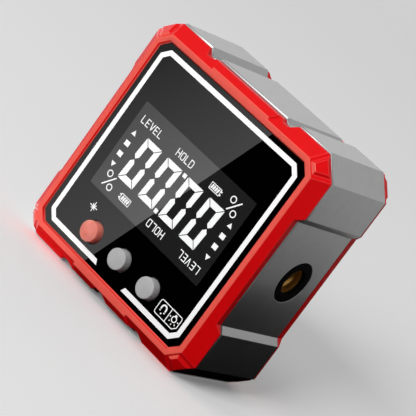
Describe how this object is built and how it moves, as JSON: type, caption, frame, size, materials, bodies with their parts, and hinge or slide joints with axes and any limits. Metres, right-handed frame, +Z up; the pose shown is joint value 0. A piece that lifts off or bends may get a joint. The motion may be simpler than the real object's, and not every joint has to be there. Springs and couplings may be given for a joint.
{
  "type": "digital angle gauge",
  "caption": "Square digital angle gauge: notched satin metal frame between red plastic bezels, glossy black display panel with round buttons, tripod thread in one side, battery door behind.",
  "frame": {"origin": "middle of the bottom, level with the two bottom pads that the gauge stands on, halfway through the overall depth with the buttons", "axes": "+Z up, +X to the right as the display is read, -Y out of the display"},
  "size_m": [0.06, 0.0326, 0.06],
  "materials": {
    "frame_metal": "satin grey, with bright cut edges",
    "red_plastic": "semi-gloss red",
    "black_gloss": "polished black panel",
    "black_plastic": "fine matt black",
    "red_rubber": "satin red",
    "grey_rubber": "satin light grey",
    "foam": "matt black foam",
    "display_glass": "dark polished glass",
    "white_plastic": "milky white",
    "board_green": "green solder mask",
    "chip_black": "matt black moulding",
    "silicone": "matt grey silicone",
    "thread_brass": "machined brass",
    "magnet_plate": "nickel plate",
    "spring_steel": "bright plated wire and sheet",
    "cell_wrap": "plain dark blue sleeve",
    "screw_steel": "dark plated steel"
  },
  "bodies": {
    "housing": {"center_frame": "frame_metal", "front_bezel": "red_plastic", "rear_bezel": "red_plastic", "front_lens": "black_gloss", "lens_gasket": "foam", "lcd_glass": "display_glass", "backlight": "white_plastic", "lcd_holder": "black_plastic", "zebra_strip_upper": "silicone", "zebra_strip_lower": "silicone", "circuit_board": "board_green", "main_chip": "chip_black", "tilt_sensor": "chip_black", "rubber_keypad": "silicone", "tripod_collar": "black_plastic", "thread_insert": "thread_brass", "magnet_top_left": "magnet_plate", "magnet_top_right": "magnet_plate", "magnet_bottom_left": "magnet_plate", "magnet_bottom_right": "magnet_plate", "battery_tray": "black_plastic", "battery_1": "cell_wrap", "battery_2": "cell_wrap", "contact_spring_1": "spring_steel", "contact_spring_2": "spring_steel", "contact_plate_upper": "spring_steel", "contact_plate_left": "spring_steel", "contact_plate_right": "spring_steel", "rear_panel": "black_plastic", "screw_1": "screw_steel", "screw_2": "screw_steel", "screw_3": "screw_steel", "screw_4": "screw_steel"},
    "power_key": {"power_button": "red_rubber"},
    "hold_key": {"hold_button": "grey_rubber"},
    "zero_key": {"zero_button": "grey_rubber"},
    "door": {"battery_door": "black_plastic"}
  },
  "joints": [
    {"name": "power_press", "type": "slide", "parent": "housing", "child": "power_key", "axis": [0, 1, 0], "range_m": [0, 0.0006], "stiffness_N_per_m": 1500},
    {"name": "hold_press", "type": "slide", "parent": "housing", "child": "hold_key", "axis": [0, 1, 0], "range_m": [0, 0.0006], "stiffness_N_per_m": 1500},
    {"name": "zero_press", "type": "slide", "parent": "housing", "child": "zero_key", "axis": [0, 1, 0], "range_m": [0, 0.0006], "stiffness_N_per_m": 1500},
    {"name": "door_lift", "type": "slide", "parent": "housing", "child": "door", "axis": [0, 1, 0], "range_m": [0, 0.015]}
  ]
}
